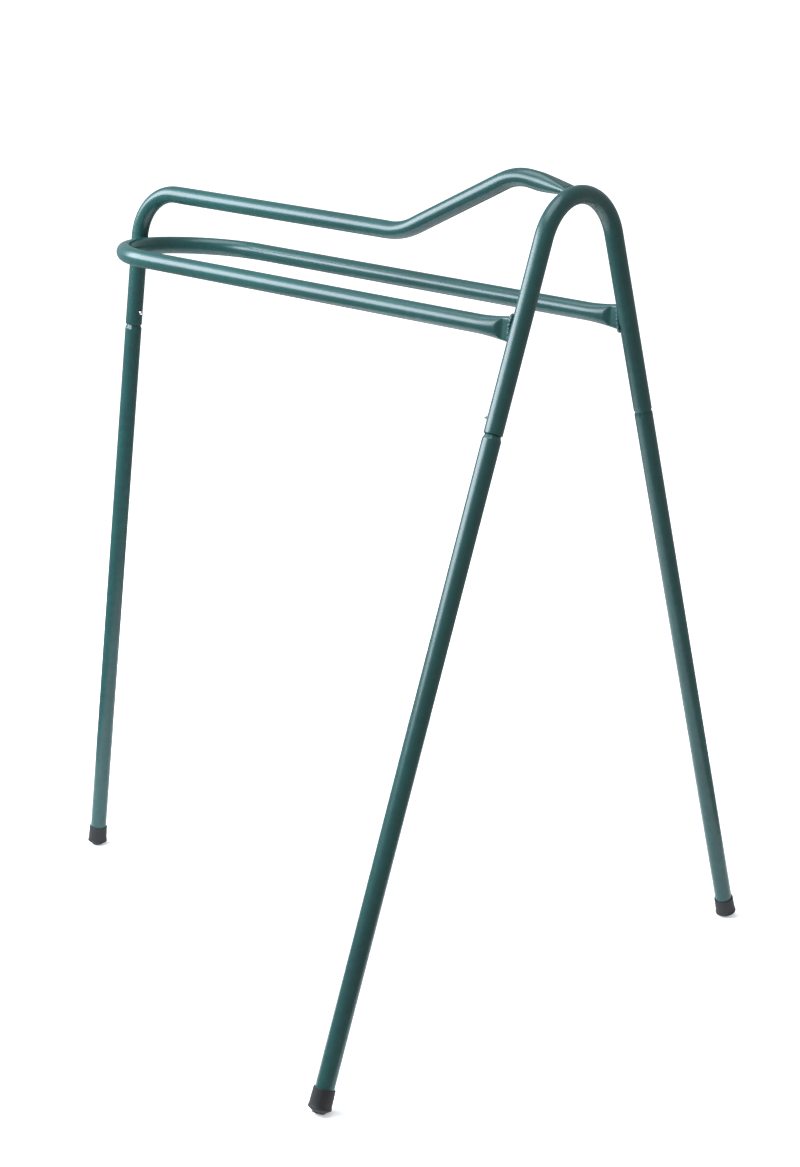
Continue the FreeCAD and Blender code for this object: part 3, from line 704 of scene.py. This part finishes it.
def loop_route(at, rails):
    """The rails: back along one side, round the half-round rear and forwards on the other."""
    half, back = rails.half_width, -at.reach
    corners = placed(at.loop, [(0, -half, 0), (back, -half, 0), (back, half, 0), (0, half, 0)])
    route = Route(corners, [half, half], turned(at.loop, (0, 0, 1)))
    crushed, crushed_step = (rails.shaped + 0.002) / 2, 0.0012
    seat, seat_step = 0.014, 0.0007
    route.fine = [(crushed, crushed, crushed_step),
                  (route.length - crushed, crushed, crushed_step),
                  (route.length / 2, seat, seat_step)]
    return route


def hoop_skin_x(at, tubes, points, gap=0.0006):
    """How far forward a point may go before it meets the hoop: the hoop's plane, less the root of
    the tube's radius squared less the squared distance from the hoop's centreline."""
    y, z = np.abs(points[..., 1]), points[..., 2]
    side = (at.joint_y - y) * math.cos(tubes.splay) - (z - at.joint_z) * math.sin(tubes.splay)
    centre = at.apex_z - tubes.hoop_radius
    top = np.hypot(y, z - centre) - tubes.hoop_radius
    on_top = np.arctan2(z - centre, y) > tubes.splay
    away = np.where(on_top, top, side)
    return at.hoop_x - np.sqrt(np.maximum(at.radius ** 2 - away ** 2, gap ** 2))


def hoop_outward(at, tubes, points):
    """The hoop's own outward direction at points near its skin."""
    y, z = points[..., 1], points[..., 2]
    centre = at.apex_z - tubes.hoop_radius
    on_top = np.arctan2(z - centre, np.abs(y)) > tubes.splay
    top = unit(np.stack([0 * y, y, z - centre], -1)) * tubes.hoop_radius
    top = top + np.array([at.hoop_x, 0, centre])
    way = np.stack([0 * y, -np.sign(y) * math.sin(tubes.splay), 0 * y + math.cos(tubes.splay)], -1)
    start = np.stack([0 * y + at.hoop_x, np.sign(y) * at.joint_y, 0 * y + at.joint_z], -1)
    near = start + ((points - start) * way).sum(-1, keepdims=True) * way
    return unit(points - np.where(on_top[..., None], top, near))


def fit_to_hoop(at, tubes, route, s, across, up, start, direction):
    """Slides the last stretch of a tube's grid along the tube, so that its end lies on the hoop's
    skin. Beyond start the distance along is stretched in proportion; direction is 1 for the end
    of the route and -1 for its beginning."""
    finish = np.where(direction > 0, route.length, 0.0) * np.ones(s.shape)
    for _ in range(8):
        points = sections(route, finish, across, up)
        _, way = route.at(finish)
        finish = finish + (hoop_skin_x(at, tubes, points) - points[..., 0]) / way[..., 0]
    whole = route.length - start if direction > 0 else -start
    beyond = (s - start) * direction > 0
    return np.where(beyond, start + (s - start) * (finish - start) / whole, s)


# ---------------------------------------------------------------- the pieces
class RACK_OT_hoop(bpy.types.Operator):
    """Hoop tube: splayed legs and one bend, open at the bottom with a button hole in each leg"""
    bl_idname = "rack.hoop"
    bl_label = "Hoop"

    def execute(self, context):
        scene = context.scene
        at, tubes, joints = layout(scene), scene.rack_tubes, scene.rack_joints
        route = hoop_route(at, tubes)

        def shape(s, v, r):
            return s, *ovalled(route, s, r * np.cos(v), r * np.sin(v), 0.025)

        made = tube_shell(scene, at, "hoop_shell", route, shape, at.turns["front_right"],
                          (joints.button_height, route.length - joints.button_height))
        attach(made, "frame")
        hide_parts("hoop_tube")
        return {"FINISHED"}


def pinched(at, rails, wall, from_hoop, v, inner):
    """The ridge's flattened end keeps its length round: two flats joined by half circles. The
    half circles' radius falls from the tube's to half the flat thickness towards the hoop, and
    each flat grows by what they lose. A point is found from its share of the way round."""
    thin = rails.thickness / 2
    u = np.clip((rails.shaped - from_hoop) / (rails.shaped - rails.nose_flat), 0, 1)
    b = at.radius - (at.radius - thin) * u ** 1.25
    h = math.pi * (at.radius - b) / 2
    quarter = np.arcsin(np.clip(np.abs(np.sin(v)), 0, 1)) * at.radius
    turn = np.minimum(quarter / b, np.pi / 2)
    flat = np.maximum(quarter - b * np.pi / 2, 0)
    skin = b - wall * inner
    return (np.sign(np.cos(v)) * (h - flat + skin * np.cos(turn)),
            np.sign(np.sin(v)) * skin * np.sin(turn))


def pressed(at, rails, wall, from_hoop, v, inner):
    """A rail's flattened end: ellipses that grow tall and thin along a curve, then a press mark.
    The press is a flat face with a sloping shoulder, and the section is the softer minimum of
    the ellipse's thickness and the press's, so the mark's edge is curved."""
    u = np.clip((rails.shaped - from_hoop) / (rails.shaped - 0.6 * rails.flat), 0, 1)
    tall = at.radius + (rails.tall / 2 - at.radius) * u ** 1.7
    thick = at.radius - (at.radius - 0.80 * rails.thickness) * u ** 1.6
    long_way, short_way = tall * np.cos(v), thick * np.abs(np.sin(v))
    face = rails.thickness / 2 + 0.75 * np.maximum(from_hoop - rails.press, 0) \
        + 10 * np.maximum(from_hoop - rails.shaped, 0)
    gap = short_way - face
    short_way = 0.5 * (short_way + face - np.sqrt(gap ** 2 + (0.0004 * np.minimum(u * 4, 1)) ** 2))
    short_way = np.maximum(short_way, 0)
    slim = wall * inner
    return (long_way * (1 - slim / tall), np.sign(np.sin(v)) * short_way * (1 - slim / thick))


def ridge_shape(at, tubes, rails, route):
    """How the ridge's grid is shaped: ovalled bends and a flattened end fitted to the hoop."""
    def shape(s, v, r):
        inner = (at.radius - r) / tubes.wall
        across, up = pinched(at, rails, tubes.wall, route.length - s, v, inner)
        across, up = ovalled(route, s, across, up, 0.03)
        start = route.length - 0.016
        return fit_to_hoop(at, tubes, route, s, across, up, start, 1), across, up
    return shape


class RACK_OT_ridge(bpy.types.Operator):
    """Ridge tube: rear upright, long top run, dip and crest, fitted to the back of the hoop"""
    bl_idname = "rack.ridge"
    bl_label = "Ridge"

    def execute(self, context):
        scene = context.scene
        at, tubes, joints = layout(scene), scene.rack_tubes, scene.rack_joints
        route = ridge_route(at, scene.rack_ridge)
        reach = scene.rack_rails.shaped / 2
        route.fine = [(route.length - reach, reach, 0.0011)]
        made = tube_shell(scene, at, "ridge_shell", route,
                          ridge_shape(at, tubes, scene.rack_rails, route), 1.5 * math.pi,
                          (joints.button_height,))
        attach(made, "frame")
        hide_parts("ridge_tube")
        return {"FINISHED"}


def rails_shape(at, tubes, rails, route):
    """How the loop's grid is shaped: crushed ends fitted to the hoop, a seat for the upright."""
    def shape(s, v, r):
        from_hoop = np.minimum(s, route.length - s)
        inner = (at.radius - r) / tubes.wall
        across, up = pressed(at, rails, tubes.wall, from_hoop, v, inner)
        across, up = ovalled(route, s, across, up, 0.02)
        start = 0.012
        s = fit_to_hoop(at, tubes, route, s, across, up, start, -1)
        s = fit_to_hoop(at, tubes, route, s, across, up, route.length - start, 1)
        points = sections(route, s, across, up)
        axis = np.array(at.frames["rear"])[:3, 2]
        place = np.array(at.frames["rear"])[:3, 3]
        foot = place + ((points - place) @ axis)[..., None] * axis
        away = points - foot
        far = np.linalg.norm(away, axis=-1, keepdims=True)
        sunk = np.maximum(at.radius - far, 0) * (far > at.radius / 2)
        moved = unit(away) * sunk
        _, way = route.at(s)
        side = np.broadcast_to(route.normal, way.shape)
        over = np.cross(way, side)
        s = s + (moved * way).sum(-1)
        return s, across + (moved * side).sum(-1), up + (moved * over).sum(-1)
    return shape


class RACK_OT_rails(bpy.types.Operator):
    """Rail loop: both rails and the half-round rear as one tube, its front ends crushed flat"""
    bl_idname = "rack.rails"
    bl_label = "Rail loop"

    def execute(self, context):
        scene = context.scene
        at, tubes, rails = layout(scene), scene.rack_tubes, scene.rack_rails
        route = loop_route(at, rails)
        made = tube_shell(scene, at, "rail_loop_shell", route,
                          rails_shape(at, tubes, rails, route))
        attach(made, "frame")
        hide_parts("rail_loop")
        return {"FINISHED"}


class RACK_OT_welds(bpy.types.Operator):
    """Weld beads: rough ones round both rail ends, a dressed one at the ridge, one at the rear"""
    bl_idname = "rack.welds"
    bl_label = "Weld beads"

    def execute(self, context):
        scene = context.scene
        at, tubes, rails = layout(scene), scene.rack_tubes, scene.rack_rails
        coat = weld_coat_of(scene)
        count = 420
        v = np.arange(count) * 2 * np.pi / count
        radius = np.full(count, at.radius)

        loop = loop_route(at, rails)
        shaping = rails_shape(at, tubes, rails, loop)
        for side, end, seed in (("right", 0.0, 3), ("left", loop.length, 11)):
            s, across, up = shaping(np.full(count, end), v, radius)
            ring = sections(loop, s, across, up)
            middle = ring.mean(0)
            off = unit((ring - middle) * np.array([0, 1, 0.35]))
            skin = hoop_outward(at, tubes, ring)
            centre = ring + 0.0006 * off + 0.0007 * skin
            bead = weld_bead("weld_bead_rail_" + side, centre, off + skin, rails.bead, 0.12, 15,
                             seed, coat, around=24)
            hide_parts("weld_rail_" + side)

        ridge = ridge_route(at, scene.rack_ridge)
        s, across, up = ridge_shape(at, tubes, rails, ridge)(
            np.full(count, ridge.length), v, radius)
        ring = sections(ridge, s, across, up)
        _, way = ridge.at(s)
        off = unit(across[:, None] * ridge.normal + up[:, None] * np.cross(way, ridge.normal))
        skin = hoop_outward(at, tubes, ring)
        bead = weld_bead("weld_bead_ridge", ring + 0.0001 * (off + skin), off + skin, 0.0011, 0.05,
                         0, 5, coat_of(scene))
        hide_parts("weld_ridge_front")

        # The rear bead runs where both tubes, grown by the bead's lift, would cross.
        lift = 0.0011
        grown = at.radius + lift
        top = math.sqrt(grown ** 2 - (at.seat - grown) ** 2)
        z = top * np.sin(v)
        x = np.sqrt(grown ** 2 - z ** 2)
        y = np.sign(np.cos(v)) * np.sqrt(np.maximum(grown ** 2 - (at.seat - x) ** 2, 0))
        line = np.stack([-at.reach - x, y, z], -1)
        centre = placed(at.loop, line)
        middle = placed(at.loop, (-at.reach - at.seat / 2, 0, 0))
        bead = weld_bead("weld_bead_loop_rear", centre, centre - middle, 0.0016, 0.14,
                         18, 8, coat)
        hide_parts("weld_loop_rear")
        return {"FINISHED"}


class RACK_OT_legs(bpy.types.Operator):
    """Lower legs: straight tubes with a swaged shoulder and spigot, each with a button hole"""
    bl_idname = "rack.legs"
    bl_label = "Lower legs"

    def execute(self, context):
        scene = context.scene
        at, tubes, joints = layout(scene), scene.rack_tubes, scene.rack_joints
        bottom = -(tubes.leg - scene.rack_feet.floor)
        # The swage is pressed by a ring of dies: each leaves a scallop at the shoulder's foot, a
        # faint facet up it, and the shoulder ends just below the joint.
        dies, scallop, facet, stop = 10, 0.0011, 0.00013, -0.0002

        def shape(s, v, r):
            die = np.abs(np.sin(dies * v / 2))
            start = -joints.swage + scallop * die
            t = np.clip((s + bottom - start) / (stop - start), 0, 1)
            t = t + 0.08 * np.sin(2 * np.pi * t) * (1 - t)
            r = r - (at.radius - at.spigot) * t - facet * (1 - die) * np.sin(np.pi * t)
            return s, r * np.cos(v), r * np.sin(v)

        for leg in LEGS:
            matrix = at.frames[leg]
            route = Route(placed(matrix, [(0, 0, bottom), (0, 0, joints.spigot)]), [],
                          turned(matrix, (1, 0, 0)))
            route.fine = [(-bottom - joints.swage / 2, joints.swage / 2 + 0.0012, 0.00035)]
            made = tube_shell(scene, at, "leg_shell_" + leg, route, shape, at.turns[leg],
                              (joints.button_height - bottom,))
            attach(made, "lower_leg_" + leg)
            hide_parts("leg_" + leg)
        return {"FINISHED"}


class RACK_OT_strips(bpy.types.Operator):
    """Spring strips: a bent strip inside each leg that carries the snap button"""
    bl_idname = "rack.strips"
    bl_label = "Spring strips"

    def execute(self, context):
        scene = context.scene
        at, joints = layout(scene), scene.rack_joints
        steel = finish_called("strip_spring_steel",
                              lambda n: rolled_steel(n, scene.rack_finish.spring))
        middle = at.strip_face - joints.gauge / 2
        bend = joints.strip_round - joints.gauge / 2
        knee = np.array([middle, -joints.strip_knee])
        low = np.array([bend, -joints.strip_bend])
        arm = np.linspace(0, 1, 26)[:, None]
        down = np.array([middle, joints.strip_top]) * (1 - arm) + knee * arm
        slant = knee * (1 - arm[1:]) + low * arm[1:]
        round_ = arc((0, -joints.strip_bend), bend, 0, -180, 24)[1:-1]
        half = np.concatenate([down, slant])
        mirrored = half[::-1] * np.array([-1, 1])
        line = np.concatenate([half, round_, mirrored])
        way = unit(np.gradient(line, axis=0))
        out = np.stack([-way[:, 1], way[:, 0]], -1)
        # The section is a rounded strip: a circle drawn out to a box by a low power.
        q = np.arange(40) * 2 * np.pi / 40
        box = np.stack([np.cos(q), np.sin(q)])
        box = np.sign(box) * np.abs(box) ** 0.22
        wide, thick = box[0] * joints.strip / 2, box[1] * joints.gauge / 2
        shrink = np.ones(len(line) + 2)
        line = np.concatenate([line[:1], line, line[-1:]])
        out = np.concatenate([out[:1], out, out[-1:]])
        shrink[[0, -1]] = 0
        flat = line[:, None] + (shrink[:, None] * thick)[..., None] * out[:, None]
        points = np.stack([flat[..., 0], shrink[:, None] * wide, flat[..., 1]], -1)
        for leg in LEGS:
            matrix = at.frames[leg] @ Matrix.Rotation(at.turns[leg], 4, "Z")
            made = grid_object("clip_strip_" + leg, placed(matrix, points), steel)
            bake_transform(made)
            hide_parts("clip_" + leg)
        return {"FINISHED"}


class RACK_OT_buttons(bpy.types.Operator):
    """Snap buttons: turned nickel pins with a domed head, one at each joint"""
    bl_idname = "rack.buttons"
    bl_label = "Snap buttons"

    def execute(self, context):
        scene = context.scene
        at, joints = layout(scene), scene.rack_joints
        nickel = finish_called("button_nickel", lambda n: bright_nickel(n, scene.rack_finish))
        r = joints.button / 2
        low = at.strip_face + 0.00005
        top = at.radius + joints.proud
        dome = r * 0.96
        edge = 0.0003
        rings = np.concatenate([
            [(0, low), (r - edge, low)], arc((r - edge, low + edge), edge, -90, 0, 5)[1:],
            np.stack([np.full(10, r), np.linspace(low + 2 * edge, top - dome - 0.0002, 10)], -1),
            arc((0, 0), r, 2, 90, 22) * (1, dome / r) + (0, top - dome)])
        out, along, v = turned_profile(rings, 48)
        points = np.stack([along, out * np.cos(v), out * np.sin(v) + joints.button_height], -1)
        for leg in LEGS:
            matrix = at.frames[leg] @ Matrix.Rotation(at.turns[leg], 4, "Z")
            made = grid_object("button_dome_" + leg, placed(matrix, points), nickel)
            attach(made, "snap_button_" + leg)
            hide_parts("button_" + leg)
        return {"FINISHED"}


class RACK_OT_ferrules(bpy.types.Operator):
    """Rubber ferrules: moulded cups with a flared rim and a small worn sole"""
    bl_idname = "rack.ferrules"
    bl_label = "Ferrules"

    def execute(self, context):
        scene = context.scene
        at, tubes, feet = layout(scene), scene.rack_tubes, scene.rack_feet
        rubber = finish_called("ferrule_rubber", lambda n: ferrule_rubber(n, scene.rack_finish))
        rim = at.radius + feet.rim_wall
        waist = at.radius + feet.waist_wall
        top = at.radius + feet.top_wall
        lip, soft = 0.0005, 0.0003
        bore = at.radius + 0.00002
        rings = np.concatenate([
            [(0, 0), (at.sole_flat * 0.6, 0)],
            arc((at.sole_flat, feet.round), feet.round, -90, -5, 8),
            [(0.55 * feet.sole / 2 + 0.45 * rim, 0.55 * feet.round + 0.45 * feet.rim_low)],
            arc((rim - soft, feet.rim_low + soft), soft, -60, 0, 4),
            arc((rim - soft, feet.rim_high - soft), soft, 0, 60, 4),
            [(0.5 * (rim + waist) - 0.0001, 0.5 * (feet.rim_high + feet.waist)),
             (waist, feet.waist)],
            np.linspace((waist, feet.waist), (top, feet.length - 2 * lip), 12)[1:],
            arc((top - lip, feet.length - lip), lip, 0, 90, 6),
            arc((bore + 0.0003, feet.length - 0.0003), 0.0003, 90, 180, 4),
            np.linspace((bore, feet.length - 0.002), (bore, feet.floor), 8), [(0, feet.floor)]])
        r, z, v = turned_profile(rings, 120)
        band = (np.clip((z - feet.waist) / 0.002, 0, 1)
                * np.clip((feet.length - 0.0012 - z) / 0.001, 0, 1))
        outer = r > bore + 0.0005
        rib = 0.00006 * np.cos(30 * v) + 0.00005 * waves(v, 0 * v, 21, 20, 26)
        r = r + band * outer * rib
        cup = np.stack([r * np.cos(v), r * np.sin(v), z - tubes.leg], -1)
        for leg in LEGS:
            points = placed(at.frames[leg], cup)
            points[..., 2] = np.maximum(points[..., 2], 0)
            made = grid_object("ferrule_" + leg, points, rubber, 45)
            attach(made, "lower_leg_" + leg)
            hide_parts("foot_" + leg)
        return {"FINISHED"}


# ---------------------------------------------------------------- studio
def look(place, target, roll=0.0):
    """A matrix at place whose third column points away from target."""
    back = unit(np.array(place) - np.array(target))
    right = unit(np.cross(-back, (0, 0, 1)))
    up = np.cross(right, -back)
    c, s = math.cos(roll), math.sin(roll)
    matrix = np.eye(4)
    matrix[:3, 0], matrix[:3, 1] = c * right + s * up, -s * right + c * up
    matrix[:3, 2], matrix[:3, 3] = back, place
    return Matrix(matrix.tolist())


class RACK_OT_stage(bpy.types.Operator):
    """Floor, light and camera"""
    bl_idname = "rack.stage"
    bl_label = "Studio"

    def execute(self, context):
        scene = context.scene
        studio, finish = scene.rack_studio, scene.rack_finish
        # The paper under the rack lights it from below. The wide sweep round it is a flat floor
        # that turns up into a dome, and is only there to be looked at.
        flat, bend, dome, middle_x, middle_y = 9.0, 3.0, 6.0, -0.05, 0.15
        floor = [(r, 0) for r in np.linspace(0, studio.paper, 12)]
        sweep = np.concatenate([
            [(r, 0) for r in np.geomspace(studio.paper, flat, 16)],
            arc((flat, bend), bend, -90, 0, 24)[1:],
            [(flat + bend, bend + dome / 2), (flat, bend + dome), (5.0, 4.0 + dome),
             (0.0, 4.5 + dome)]])
        for name, glow, rings in (("studio_floor", studio.glow, floor),
                                  ("studio_sweep", studio.glow + studio.sweep, sweep)):
            r, z, turn = turned_profile(rings, 96)
            paint = Paint(name + "_paper")
            paper = paint.shade(
                Base_Color=paint.mix(paint.noise(3.0), rgba(finish.floor, 0.99),
                                     rgba(finish.floor, 1.01)),
                Roughness=0.85, Specular_IOR_Level=0.2, Emission_Color=(1.0, 1.0, 1.0, 1.0),
                Emission_Strength=glow)
            made = grid_object(name, np.stack([r * np.cos(turn) + middle_x,
                                               r * np.sin(turn) + middle_y, z], -1), paper)
            if made.data.polygons[0].normal.z < 0:
                made.data.flip_normals()
            if name == "studio_sweep":
                made.visible_diffuse = made.visible_glossy = made.visible_shadow = False

        for name, azimuth, elevation, away, size, bright in (
                ("key_panel", -42, 18.5, 1.36, (1.6, 0.8), studio.key),
                ("key_edge_panel", -36, 28, 1.45, (2.5, 1.2), studio.key * studio.edge),
                ("top_panel", -20, 78, 2.3, (2.2, 1.6), studio.top)):
            a, e = math.radians(azimuth), math.radians(elevation)
            middle = np.array([0.0, 0.0, 0.75])
            place = middle + away * np.array([math.sin(a) * math.cos(e),
                                              -math.cos(a) * math.cos(e), math.sin(e)])
            lamp = bpy.data.lights.new(name, "AREA")
            lamp.shape = "RECTANGLE"
            lamp.size, lamp.size_y = size
            lamp.energy = bright * math.pi * size[0] * size[1]
            lamp.color = studio.tint
            panel = bpy.data.objects.new(name, lamp)
            panel.matrix_world = look(place, middle)
            panel.visible_camera = False
            scene.collection.objects.link(panel)

        world = bpy.data.worlds.new("even_room")
        world.use_nodes = True
        sky = world.node_tree.nodes["Background"]
        sky.inputs["Color"].default_value = (0.92, 0.98, 1.0, 1.0)
        sky.inputs["Strength"].default_value = studio.room
        scene.world = world
        scene.view_settings.view_transform = "Standard"

        camera = bpy.data.objects.new("camera", bpy.data.cameras.new("camera"))
        scene.collection.objects.link(camera)
        a, e = studio.azimuth, studio.elevation
        back = np.array([math.sin(a) * math.cos(e), -math.cos(a) * math.cos(e), math.sin(e)])
        place = np.array(studio.place)
        camera.matrix_world = look(place, place - back, studio.roll)
        camera.data.lens = studio.lens
        camera.data.sensor_width = 36.0
        camera.data.clip_start, camera.data.clip_end = 0.05, 200.0
        scene.camera = camera
        return {"FINISHED"}


class RACK_PT_panel(bpy.types.Panel):
    """The rack's sizes, finishes and pieces"""
    bl_idname = "RACK_PT_panel"
    bl_label = "Saddle rack"
    bl_space_type = "VIEW_3D"
    bl_region_type = "UI"
    bl_category = "Saddle rack"

    def draw(self, context):
        column = self.layout.column(align=True)
        for piece in PIECES:
            column.operator(piece.bl_idname)
        for attribute, group in GROUPS.items():
            box = self.layout.box()
            box.label(text=group.__doc__)
            for key in group.__annotations__:
                box.prop(getattr(context.scene, attribute), key)


GROUPS = {"rack_tubes": RackTubes, "rack_ridge": RackRidge, "rack_rails": RackRails,
          "rack_joints": RackJoints, "rack_feet": RackFeet, "rack_finish": RackFinish,
          "rack_studio": RackStudio}
PIECES = (RACK_OT_hoop, RACK_OT_ridge, RACK_OT_rails, RACK_OT_welds, RACK_OT_legs,
          RACK_OT_strips, RACK_OT_buttons, RACK_OT_ferrules, RACK_OT_stage)


def register():
    for kind in (*GROUPS.values(), *PIECES, RACK_PT_panel):
        bpy.utils.register_class(kind)
    for attribute, group in GROUPS.items():
        setattr(bpy.types.Scene, attribute, bpy.props.PointerProperty(type=group))


def unregister():
    for attribute in GROUPS:
        delattr(bpy.types.Scene, attribute)
    for kind in reversed((*GROUPS.values(), *PIECES, RACK_PT_panel)):
        bpy.utils.unregister_class(kind)


def main():
    register()
    for piece in PIECES:
        group, name = piece.bl_idname.split(".")
        getattr(getattr(bpy.ops, group), name)()
    bpy.context.view_layer.update()


if __name__ == "__main__":
    main()
